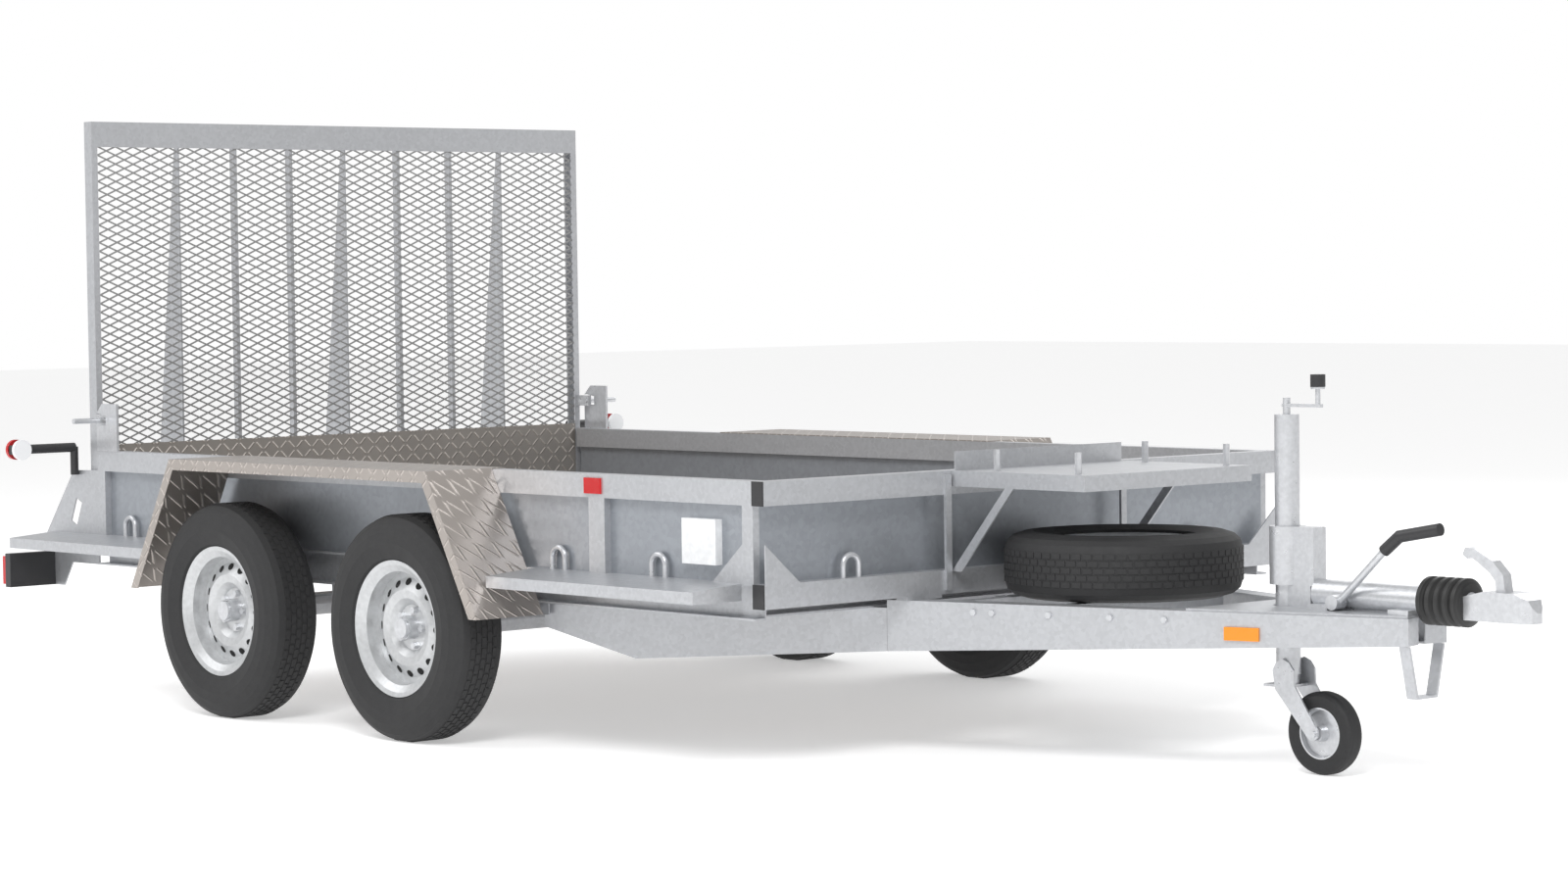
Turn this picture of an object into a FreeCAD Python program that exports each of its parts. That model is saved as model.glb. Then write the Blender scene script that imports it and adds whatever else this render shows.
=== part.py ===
"""Tandem-axle equipment trailer with a mesh loading ramp, as a parametric FreeCAD document.

Frame: +X towards the coupling, +Y to the left, +Z up. The origin lies on the ground, midway
between the tip of the coupling head and the rear edge of the tail, on the centre line.
Lengths are in millimetres. Expressions that give a place along X are relative to the outer
face of the front panel ("the board"), which keeps the bed and the drawbar readable.
"""
import FreeCAD, Part
import math
import os
import re

# ----------------------------------------------------------------------------------------
# Driving sizes
# ----------------------------------------------------------------------------------------
SIZES = {
    # overall
    "bed_length": 2966, "bed_width": 1868, "nose_reach": 1631, "tail_reach": 284,
    "bed_top": 714, "chassis_base": 375, "chassis_top": 464,
    # bed: rails, channels, panels, floor
    "rail_tall": 60, "rail_deep": 40, "rail_wall": 4, "channel_wall": 5, "panel_thick": 3,
    "panel_inset": 20, "front_rail_base": 404, "cap_thick": 4, "tail_gap": 16,
    "floor_top": 430, "floor_thick": 5, "cross_wide": 60, "cross_wall": 5,
    "post_wide": 63, "post_centre": 598, "corner_wide": 40,
    # side ledges and corner gussets
    "ledge_deep": 156, "ledge_fall": 12, "ledge_lip": 30, "ledge_wall": 4,
    "ledge_front": 45, "ledge_rear": 858, "gusset_run": 111, "gusset_rise": 96,
    "gusset_thick": 4, "hoop_radius": 26, "hoop_wire": 7, "hoop_leg": 30,
    # running gear
    "axle_gap": 830, "bogie_centre": 1629, "tyre_radius": 298, "tyre_wide": 165,
    "tyre_plane": 1054, "rim_radius": 172, "rim_flange": 180, "rim_wide": 128,
    "bore_radius": 30, "stub_radius": 29.91, "axle_tube": 32, "drum_radius": 118,
    "drum_wide": 55, "plate_radius": 124, "spring_half": 300, "spring_wide": 50,
    "spring_thick": 24, "spring_centre": 900, "hanger_wide": 70, "hanger_drop": 62,
    # mudguards
    "guard_top_half": 600, "guard_foot_half": 808, "guard_foot": 345, "guard_wall": 3,
    "guard_outer": 1150, "guard_lip": 30,
    # drawbar and under-bed beams
    "beam_tip": 1310, "beam_tip_side": 70, "beam_seam": 26, "beam_seam_side": 468,
    "beam_top": 395, "beam_seam_base": 266, "beam_tip_base": 331, "beam_wide": 60,
    "beam_wall": 5, "brace_length": 960, "brace_turn": 24.5, "brace_base": 228,
    "brace_end_base": 305, "brace_knee": 700, "nose_plate_rear": 760, "nose_plate": 6,
    "carrier_bar": 40, "carrier_first": 120, "carrier_second": 400,
    # bucket rest above the drawbar
    "rest_front": 505, "rest_side": 304, "rest_rail": 40, "rest_plate": 3,
    "rest_flap": 48, "rest_post": 20, "strut_wide": 30,
    # spare wheel
    "spare_centre": 345, "spare_rod": 10, "spare_clamp_side": 130,
    # overrun coupling
    "housing_radius": 34, "housing_rear": 985, "housing_front": 1312, "bellows_radius": 57,
    "bellows_front": 1438, "head_rear": 1425, "head_wide": 78, "head_top": 466,
    "head_base": 398, "ball_radius": 25.1, "ball_back": 46, "drawtube_radius": 25,
    "handle_wide": 30, "lever_side": 52, "lever_radius": 9, "grip_radius": 14,
    "hoop_strap": 30, "hoop_strap_thick": 6, "skid_base": 205, "skid_foot": 38,
    # jockey wheel
    "mast_centre": 885, "mast_radius": 30, "mast_bore": 26.5, "mast_base": 235,
    "mast_top": 860, "fit_gap": 0.09, "leg_base": 212, "leg_top": 480, "swivel_radius": 10,
    "fork_plate": 5, "fork_side": 36, "fork_bridge": 6, "jockey_radius": 100,
    "jockey_wide": 50, "jockey_trail": 112, "jockey_hub": 62, "jockey_axle": 8,
    "clamp_base": 452, "clamp_top": 592, "clamp_radius": 44, "clamp_front": 985,
    "run_gap": 0.3,
    # ramp
    "ramp_half": 922, "ramp_deep": 40, "ramp_base": 446, "ramp_top": 1692,
    "ramp_wall": 4, "ramp_flange": 20, "ramp_head": 75, "ramp_foot": 40,
    "hinge_back": 30, "hinge_height": 425, "hinge_radius": 12.5, "tread_top": 730,
    "mesh_wall": 1.5, "mesh_strand": 5, "mesh_long": 62, "mesh_short": 26,
    "rib_thick": 6, "rib_top_deep": 18, "rib_foot_deep": 150, "rib_top": 1630,
    "rib_foot": 490, "rib_reach": 614, "bar_wide": 12, "bar_deep": 22,
    "latch_height": 805, "latch_radius": 8, "latch_ahead": 46, "latch_reach": 1032,
    "latch_lug": 12, "catch_thick": 8, "catch_tall": 140, "catch_gap": 6,
    # tail
    "ear_thick": 4, "ear_gap": 8, "tail_board_base": 303, "tail_board_top": 404,
    "tail_board_back": 219, "lamp_wide": 104, "lamp_deep": 22,
    "lamp_tall": 84, "ledge_tail_front": 2462, "marker_reach": 1163, "marker_radius": 14,
    "flap_tall": 92,
}

DOC = FreeCAD.newDocument("equipment_trailer")
SHEET = DOC.addObject("Spreadsheet::Sheet", "Sizes")
for row, (alias, size) in enumerate(SIZES.items(), start=1):
    SHEET.set(f"A{row}", alias)
    SHEET.set(f"B{row}", str(size))
    SHEET.setAlias(f"B{row}", alias)
DOC.recompute()

WORD = re.compile(r"\b(" + "|".join(sorted(SIZES, key=len, reverse=True)) + r")\b")
BOARD = "((bed_length + tail_reach - nose_reach) / 2)"   # X of the front panel's outer face
HALF = "(bed_width / 2)"
NODES = []                                               # what is written as parts/NODE.step


def bind(expression):
    """The expression with each size name pointing at its cell."""
    return WORD.sub(r"Sizes.\1", str(expression))


def num(expression):
    """The expression's value now, in millimetres or degrees."""
    return float(SHEET.evalExpression(bind(expression)))


def along(expression):
    """A place along X that is given from the front panel's outer face."""
    return f"{BOARD} + ({expression})"


def place(obj, at, rotation=None):
    """Bind an object's position to expressions and set its fixed rotation."""
    if rotation is not None:
        obj.Placement = FreeCAD.Placement(FreeCAD.Vector(), rotation)
    for axis, expression in zip("xyz", at):
        obj.setExpression(f"Placement.Base.{axis}", bind(expression))
    return obj


def keep(obj, label):
    """Name an object as a finished sub-part."""
    obj.Label = label
    NODES.append(obj)
    return obj


# ----------------------------------------------------------------------------------------
# Building blocks
# ----------------------------------------------------------------------------------------
TURN = {
    "Z": FreeCAD.Rotation(),                                             # up is up
    "X": FreeCAD.Rotation(FreeCAD.Vector(0, 1, 0), 90),                  # local Z along X
    "Y": FreeCAD.Rotation(FreeCAD.Vector(1, 0, 0), -90),                 # local Z along Y
    "side": FreeCAD.Rotation(FreeCAD.Vector(1, 0, 0), 90),               # sketch XY as XZ
    "front": FreeCAD.Rotation(FreeCAD.Vector(1, 1, 1), 120),             # sketch XY as YZ
}


def box(size, at, rotation=None):
    """A Part::Box from three size and three place expressions."""
    obj = DOC.addObject("Part::Box", "box")
    for name, expression in zip(("Length", "Width", "Height"), size):
        obj.setExpression(name, bind(expression))
    return place(obj, at, rotation)


def rod(radius, length, at, axis="Z", rotation=None):
    """A Part::Cylinder along a row axis, or turned by a given rotation."""
    obj = DOC.addObject("Part::Cylinder", "rod")
    obj.setExpression("Radius", bind(radius))
    obj.setExpression("Height", bind(length))
    return place(obj, at, rotation or TURN[axis])


def fuse(*parts):
    """One solid from parts that touch or overlap."""
    obj = DOC.addObject("Part::MultiFuse", "fused")
    obj.Shapes = list(parts)
    obj.Refine = True
    return obj


def cut(base, *tools):
    """The base without the tools."""
    obj = DOC.addObject("Part::Cut", "cut")
    obj.Base = base
    obj.Tool = tools[0] if len(tools) == 1 else group(*tools)
    return obj


def common(first, second):
    """What two parts share."""
    obj = DOC.addObject("Part::Common", "shared")
    obj.Base = first
    obj.Tool = second
    return obj


def group(*parts):
    """Like pieces kept as separate solids in one sub-part."""
    obj = DOC.addObject("Part::Compound", "pieces")
    obj.Links = list(parts)
    return obj


def mirrored(source):
    """The other side's copy, across the centre plane."""
    obj = DOC.addObject("Part::Mirroring", "mirrored")
    obj.Source = source
    obj.Normal = FreeCAD.Vector(0, 1, 0)
    return obj


def pair(source):
    """A part and its mirror image, as separate solids of one sub-part."""
    return group(source, mirrored(source))


def shaped(name, shape):
    """A Part::Feature for a shape that no primitive or sketch gives."""
    obj = DOC.addObject("Part::Feature", name)
    obj.Shape = shape
    return obj


def origin_plane(body, role):
    """One of the body's own origin features."""
    return next(item for item in body.Origin.OriginFeatures if item.Role == role)


def outline(sketch, points):
    """A closed outline whose corners are bound to pairs of expressions."""
    spots = [FreeCAD.Vector(num(x), num(y), 0) for x, y in points]
    first = sketch.GeometryCount
    count = len(spots)
    for index, spot in enumerate(spots):
        sketch.addGeometry(Part.LineSegment(spot, spots[(index + 1) % count]), False)
    import Sketcher
    for index in range(count):
        follower = first + (index + 1) % count
        sketch.addConstraint(Sketcher.Constraint("Coincident", first + index, 2, follower, 1))
    for index, (x, y) in enumerate(points):
        bind_corner(sketch, first + index, 1, x, y)


def bind_corner(sketch, item, point, x, y):
    """Tie one point of the sketch to its two expressions."""
    import Sketcher
    for kind, axis, expression in (("DistanceX", -2, x), ("DistanceY", -1, y)):
        value = num(expression)
        if abs(value) < 1e-9:
            sketch.addConstraint(Sketcher.Constraint("PointOnObject", item, point, axis))
            continue
        if value > 0:
            row = sketch.addConstraint(Sketcher.Constraint(kind, -1, 1, item, point, value))
            sketch.setExpression(f"Constraints[{row}]", bind(expression))
        else:
            row = sketch.addConstraint(Sketcher.Constraint(kind, item, point, -1, 1, -value))
            sketch.setExpression(f"Constraints[{row}]", bind(f"-({expression})"))


def ring(sketch, x, y, radius):
    """A circle in the sketch, bound to its centre and radius."""
    import Sketcher
    centre = FreeCAD.Vector(num(x), num(y), 0)
    item = sketch.addGeometry(Part.Circle(centre, FreeCAD.Vector(0, 0, 1), num(radius)), False)
    bind_corner(sketch, item, 3, x, y)
    row = sketch.addConstraint(Sketcher.Constraint("Radius", item, num(radius)))
    sketch.setExpression(f"Constraints[{row}]", bind(radius))


def padded(points, depth, at, turn, holes=(), inner=()):
    """A PartDesign pad of an outline: "side" sketches lie in XZ, "front" ones in YZ.

    A side pad grows towards -Y, a front pad towards +X and a flat ("Z") one upwards.
    """
    body = DOC.addObject("PartDesign::Body", "plate")
    sketch = body.newObject("Sketcher::SketchObject", "outline")
    sketch.AttachmentSupport = [(origin_plane(body, "XY_Plane"), "")]
    sketch.MapMode = "FlatFace"
    outline(sketch, points)
    if inner:
        outline(sketch, inner)
    for x, y, radius in holes:
        ring(sketch, x, y, radius)
    pad = body.newObject("PartDesign::Pad", "pad")
    pad.Profile = sketch
    pad.setExpression("Length", bind(depth))
    return place(body, at, turn if isinstance(turn, FreeCAD.Rotation) else TURN[turn])


def turned(points, at, axis):
    """A PartDesign revolution; each point is (radius, place along the axis)."""
    body = DOC.addObject("PartDesign::Body", "turned")
    sketch = body.newObject("Sketcher::SketchObject", "section")
    sketch.AttachmentSupport = [(origin_plane(body, "XY_Plane"), "")]
    sketch.MapMode = "FlatFace"
    outline(sketch, points)
    spin = body.newObject("PartDesign::Revolution", "spin")
    spin.Profile = sketch
    spin.ReferenceAxis = (sketch, ["V_Axis"])
    spin.Angle = 360
    lay = {"Y": FreeCAD.Rotation(), "Z": TURN["side"],
           "X": FreeCAD.Rotation(FreeCAD.Vector(0, 0, 1), -90)}
    return place(body, at, lay[axis])


# ----------------------------------------------------------------------------------------
# Bed
# ----------------------------------------------------------------------------------------
BED_RUN = "(bed_length - tail_gap)"          # length of rails, channels and side panels
RAIL_BASE = "(bed_top - rail_tall)"
PANEL_SIDE = f"({HALF} - panel_inset)"       # outer face of a side panel


def tube(length, wide, tall, at, turn):
    """A rectangular hollow section; its corner is at the given place."""
    outer = [("0", "0"), (wide, "0"), (wide, tall), ("0", tall)]
    low, right, high = "rail_wall", f"{wide} - rail_wall", f"{tall} - rail_wall"
    return padded(outer, length, at, turn, inner=[(low, low), (right, low), (right, high), (low, high)])


def bed_side():
    """Right side of the bed: chassis channel, top rail, posts and slanted stiffeners."""
    start = along(f"-{BED_RUN}")
    tall = "(chassis_top - chassis_base)"
    section = [("0", "0"), ("rail_deep", "0"), ("rail_deep", tall), ("0", tall),
               ("0", f"{tall} - channel_wall"), ("rail_deep - channel_wall", f"{tall} - channel_wall"),
               ("rail_deep - channel_wall", "channel_wall"), ("0", "channel_wall")]
    channel = padded(section, BED_RUN, (start, f"-{HALF}", "chassis_base"), "front")
    rail = tube(BED_RUN, "rail_deep", "rail_tall", (start, f"-{HALF}", RAIL_BASE), "front")
    parts = [channel, rail]
    posts = (("-corner_wide", "corner_wide"), ("-(post_centre + post_wide / 2)", "post_wide"),
             (f"-{BED_RUN}", "corner_wide"))
    for where, wide in posts:
        parts.append(box((wide, "panel_inset", f"{RAIL_BASE} - chassis_top"),
                         (along(where), f"-{HALF}", "chassis_top")))
    return fuse(*parts)


def bed():
    """Floor, sides, front and what is welded to them."""
    side = bed_side()
    keep(side, "side_frame_right")
    keep(mirrored(side), "side_frame_left")
    panel = box((BED_RUN, "panel_thick", f"{RAIL_BASE} - chassis_top"),
                (along(f"-{BED_RUN}"), f"-{PANEL_SIDE}", "chassis_top"))

    top = tube("bed_width", "rail_deep", "rail_tall", (along("0"), HALF, RAIL_BASE), "side")
    foot = tube("bed_width", "rail_deep", "rail_tall", (along("0"), HALF, "front_rail_base"), "side")
    keep(group(top, foot), "front_rails")
    front = box(("panel_thick", f"2 * ({PANEL_SIDE} - panel_thick)", f"{RAIL_BASE} - chassis_top"),
                (along("-panel_thick"), f"-({PANEL_SIDE} - panel_thick)", "chassis_top"))
    keep(group(panel, mirrored(panel), front), "bed_panels")
    caps = []
    for base in (RAIL_BASE, "front_rail_base"):
        cap = box(("rail_deep", "cap_thick", "rail_tall"),
                  (along("0"), f"-({HALF} + cap_thick)", base))
        caps += [cap, mirrored(cap)]
    keep(group(*caps), "rail_caps")

    inside = f"({HALF} - rail_deep)"
    keep(box((f"{BED_RUN} + tail_gap - 22", f"2 * {inside}", "floor_thick"),
             (along("-(bed_length - 22)"), f"-{inside}", "floor_top - floor_thick")), "floor_plate")
    cross_tall = "(floor_top - floor_thick - chassis_base)"
    section = [("0", "0"), ("cross_wide", "0"), ("cross_wide", "cross_wall"),
               ("cross_wall", "cross_wall"), ("cross_wall", f"{cross_tall} - cross_wall"),
               ("cross_wide", f"{cross_tall} - cross_wall"), ("cross_wide", cross_tall),
               ("0", cross_tall)]
    members = []
    for index in range(CROSS_COUNT):
        where = f"-60 - ({BED_RUN} - 130) * {index} / {CROSS_COUNT - 1} - cross_wide"
        members.append(padded(section, f"2 * {inside}",
                              (along(where), inside, "chassis_base"), "side"))
    keep(group(*members), "cross_members")


def hoop(centre, side, base, turn):
    """A lashing hoop: half a ring of round bar on two legs."""
    facing = FreeCAD.Rotation(FreeCAD.Vector(0, 0, 1), turn) * TURN["side"]
    arch = DOC.addObject("Part::Torus", "arch")
    arch.setExpression("Radius1", bind("hoop_radius"))
    arch.setExpression("Radius2", bind("hoop_wire"))
    arch.Angle3 = 180
    place(arch, (centre, side, f"{base} + hoop_leg"), facing)
    legs = []
    for way in (-1, 1):
        step_x = f" + {way} * hoop_radius" if turn == 0 else ""
        step_y = "" if turn == 0 else f" + {way} * hoop_radius"
        legs.append(rod("hoop_wire", "hoop_leg", (centre + step_x, side + step_y, base)))
    return fuse(arch, *legs)


def ledge(front, rear):
    """A folded side step: sloping top, outer lip and closed ends."""
    top = "(chassis_top)"
    low = f"({top} - ledge_fall - ledge_lip)"
    edge = f"({top} - ledge_fall)"
    skin = [("0", low), ("ledge_wall", low), ("ledge_wall", f"{edge} - ledge_wall"),
            ("ledge_deep", f"{top} - ledge_wall"), ("ledge_deep", top), ("0", edge)]
    full = [("0", low), ("ledge_deep", low), ("ledge_deep", top), ("0", edge)]
    corner = (along(f"-({rear})"), f"-({HALF} + ledge_deep)", "0")
    strip = padded(skin, f"{rear} - ({front})", corner, "front")
    ends = [padded(full, "ledge_wall", corner, "front"),
            padded(full, "ledge_wall", (along(f"-({front}) - ledge_wall"), corner[1], "0"), "front")]
    return fuse(strip, *ends)


def bed_fittings():
    """Ledges, corner gussets and lashing hoops."""
    ahead_ledge = ledge("ledge_front", "ledge_rear")
    tail_ledge = ledge("ledge_tail_front", "bed_length + tail_reach - 50")
    keep(group(ahead_ledge, mirrored(ahead_ledge), tail_ledge, mirrored(tail_ledge)), "ledges")

    corner = [("0", "0"), ("gusset_run", "0"), ("gusset_run", "gusset_rise")]
    side = padded(corner, "gusset_thick",
                  (along("-(corner_wide + gusset_run)"), f"-{HALF} + gusset_thick", "chassis_top"), "side")
    rise = [("0", "0"), ("gusset_run", "0"), ("0", "gusset_rise")]
    front = padded(rise, "gusset_thick",
                   (along("rail_deep - gusset_thick"), f"-{HALF} + cap_thick", "chassis_top"), "front")
    keep(group(side, front, mirrored(side), mirrored(front)), "corner_gussets")

    hoops = []
    for back in HOOP_PLACES:
        one = hoop(along(f"-{back}"), f"-({HALF} - 9)", "chassis_top", 0)
        hoops += [one, mirrored(one)]
    ahead = hoop(along("rail_deep / 2"), "-632", "chassis_top", 90)
    keep(group(*hoops, ahead, mirrored(ahead)), "lashing_hoops")


CROSS_COUNT = 7
HOOP_PLACES = (367, 765, 2790)


# ----------------------------------------------------------------------------------------
# Mudguards
# ----------------------------------------------------------------------------------------
def mudguard():
    """Right mudguard: folded tread plate over both wheels with an outer lip."""
    top = "(bed_top + guard_wall)"
    rise = f"({top} - guard_foot)"
    run = "(guard_foot_half - guard_top_half)"
    slant = f"(sqrt({run} * {run} + {rise} * {rise}) / {rise})"
    wide = f"(guard_outer - {HALF} - 0.5)"

    def band(thick):
        """The folded outline with a given thickness."""
        lean = f"({run} / {rise})"
        inset = f"({thick} * {slant})"
        foot = f"(2 * guard_foot_half - {inset})"
        knee = f"({run} + {inset} - {thick} * {lean})"
        return [("0", "0"), (run, rise), (f"{run} + 2 * guard_top_half", rise),
                ("2 * guard_foot_half", "0"), (foot, "0"),
                (f"2 * guard_foot_half - {knee}", f"{rise} - {thick}"),
                (knee, f"{rise} - {thick}"), (inset, "0")]

    rear = along("-(bogie_centre + guard_foot_half)")
    skin = padded(band("guard_wall"), wide, (rear, f"-({HALF} + 0.5)", "guard_foot"), "side")
    lip = padded(band("guard_lip"), "guard_wall",
                 (rear, f"-(guard_outer - guard_wall)", "guard_foot"), "side")
    cover = box(("2 * guard_top_half", f"rail_deep + 10", "guard_wall"),
                (along("-(bogie_centre + guard_top_half)"), f"-({HALF} + 10)", "bed_top"))
    return fuse(skin, lip, cover)


# ----------------------------------------------------------------------------------------
# Running gear
# ----------------------------------------------------------------------------------------
def tyre_section():
    """Half section of a tyre: (radius, place across) with the crown at the middle."""
    half = "(tyre_wide / 2)"
    seat = "(rim_wide / 2)"
    return [("rim_radius + 0.3", f"-{seat} + 9"), ("rim_flange + 0.4", f"-{seat} + 4"),
            ("rim_flange + 6", f"-{seat} - 7"), ("tyre_radius - 72", f"-{half}"),
            ("tyre_radius - 45", f"-{half} + 2"), ("tyre_radius - 20", f"-{half} + 10"),
            ("tyre_radius - 6", f"-{half} + 22"), ("tyre_radius", f"-{half} + 42"),
            ("tyre_radius", f"{half} - 42"), ("tyre_radius - 6", f"{half} - 22"),
            ("tyre_radius - 20", f"{half} - 10"), ("tyre_radius - 45", f"{half} - 2"),
            ("tyre_radius - 72", half), ("rim_flange + 6", f"{seat} + 7"),
            ("rim_flange + 0.4", f"{seat} - 4"), ("rim_radius + 0.3", f"{seat} - 9")]


def rim_section(face, bore):
    """Section of a pressed steel wheel; face is +1 or -1 for the side its disc shows on."""
    half = "(rim_wide / 2)"
    rows = [(bore, "6"), ("60", "6"), ("78", "24"), ("100", "30"), ("132", "12"), ("150", "10"),
            ("150", f"{half} - 16"), ("rim_radius - 4", f"{half} - 4"), ("rim_flange", half),
            ("rim_flange", f"{half} - 3"), ("rim_radius", f"{half} - 8"),
            ("rim_radius", f"-{half} + 8"), ("rim_flange", f"-{half} + 3"), ("rim_flange", f"-{half}"),
            ("rim_radius - 4", f"-{half} + 4"), ("146", f"-{half} + 16"), ("146", "4"),
            ("130", "4"), ("98", "22"), ("82", "18"), ("66", "0"), (bore, "0")]
    return [(radius, across if face > 0 else f"-({across})") for radius, across in rows]


def wheel(place_x, side, label, height="tyre_radius"):
    """One road wheel: tyre and pressed rim, standing on the ground."""
    centre = f"({side} * tyre_plane)"
    at = (place_x, centre, height)
    keep(turned(tyre_section(), at, "Y"), f"tyre_{label}")
    keep(turned(rim_section(side, "bore_radius"), at, "Y"), f"rim_{label}")


def axle(place_x, label):
    """Axle beam with its stub ends, drums' back plates and spring seats."""
    tube_half = "(tyre_plane - tyre_wide / 2 + 10)"
    beam = rod("axle_tube", f"2 * {tube_half}", (place_x, f"-{tube_half}", "tyre_radius"), "Y")
    stub = f"(tyre_plane + 40)"
    spindle = rod("stub_radius", f"2 * {stub}", (place_x, f"-{stub}", "tyre_radius"), "Y")
    drums = []
    for way in (-1, 1):
        inner = f"{way} * (tyre_plane - drum_wide - 8)" if way > 0 else "-(tyre_plane - 8)"
        drums.append(rod("drum_radius", "drum_wide", (place_x, inner, "tyre_radius"), "Y"))
    seat_top = "(tyre_radius + axle_tube + 2)"
    seats = []
    for way in (-1, 1):
        seats.append(box(("90", "spring_wide + 10", f"{seat_top} - tyre_radius"),
                         (f"{place_x} - 45", f"{way} * spring_centre - spring_wide / 2 - 5", "tyre_radius")))
    keep(fuse(beam, spindle, *drums, *seats), label)


def spring(place_x, side):
    """A leaf spring pack with its upturned ends, seated on the axle."""
    seat = "(axle_tube + 2)"
    half = "spring_half"
    rows = [("0", f"{seat} + 14"), (f"{half} * 0.45", seat), (f"{half} * 1.55", seat),
            (f"2 * {half}", f"{seat} + 14"), (f"2 * {half}", f"{seat} + 22"),
            (f"{half} * 1.6", f"{seat} + 8"), (f"{half} * 1.35", f"{seat} + 8"),
            (f"{half} * 1.3", f"{seat} + 16"), (f"{half} * 1.2", f"{seat} + 16"),
            (f"{half} * 1.15", f"{seat} + spring_thick"), (f"{half} * 0.85", f"{seat} + spring_thick"),
            (f"{half} * 0.8", f"{seat} + 16"), (f"{half} * 0.7", f"{seat} + 16"),
            (f"{half} * 0.65", f"{seat} + 8"), (f"{half} * 0.4", f"{seat} + 8"), ("0", f"{seat} + 22")]
    return padded(rows, "spring_wide", (f"{place_x} - spring_half",
                                        f"{side} * spring_centre + spring_wide / 2", "tyre_radius"), "side")


def running_gear():
    """Axles, springs, hangers and the four road wheels."""
    front = along("-bogie_centre + axle_gap / 2")
    rear = along("-bogie_centre - axle_gap / 2")
    for where, name in ((front, "front"), (rear, "rear")):
        axle(where, f"axle_{name}")
        for side, hand in ((-1, "right"), (1, "left")):
            wheel(where, side, f"{name}_{hand}")
    springs = []
    for where in (front, rear):
        one = spring(where, -1)
        springs += [one, mirrored(one)]
    keep(group(*springs), "leaf_springs")

    hangers = []
    seat = "(tyre_radius + axle_tube + 2 + 14)"
    gap = "(axle_gap / 2)"
    spans = ((f"{gap} + spring_half - 20", "60"), (f"-({gap} - spring_half) - 20", f"2 * ({gap} - spring_half) + 40"),
             (f"-({gap} + spring_half) - 40", "60"))
    for start, length in spans:
        base = f"({seat} - 8)"
        corner = (along(f"-bogie_centre + {start}"), "-(spring_centre + spring_wide / 2 + 4)", base)
        outer = box((length, "4", f"chassis_base - {base}"), corner)
        inner = box((length, "4", f"chassis_base - {base}"),
                    (corner[0], "-(spring_centre - spring_wide / 2)", base))
        lid = box((length, "spring_wide + 8", "4"), (corner[0], corner[1], "chassis_base - 4"))
        one = fuse(outer, inner, lid)
        hangers += [one, mirrored(one)]
    keep(group(*hangers), "spring_hangers")


# ----------------------------------------------------------------------------------------
# Drawbar, bucket rest and spare wheel
# ----------------------------------------------------------------------------------------
BEAM_RUN = "(beam_tip + beam_seam)"
BEAM_RISE = "(beam_seam_side - beam_tip_side)"
BEAM_LENGTH = f"(sqrt({BEAM_RUN} * {BEAM_RUN} + {BEAM_RISE} * {BEAM_RISE}))"
BEAM_TURN = f"atan({BEAM_RISE} / {BEAM_RUN})"


def beam_side(ahead):
    """Distance of a beam's outer face from the centre line at a place ahead of the board."""
    return f"(beam_tip_side + (beam_tip - ({ahead})) * {BEAM_RISE} / {BEAM_RUN})"


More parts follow.
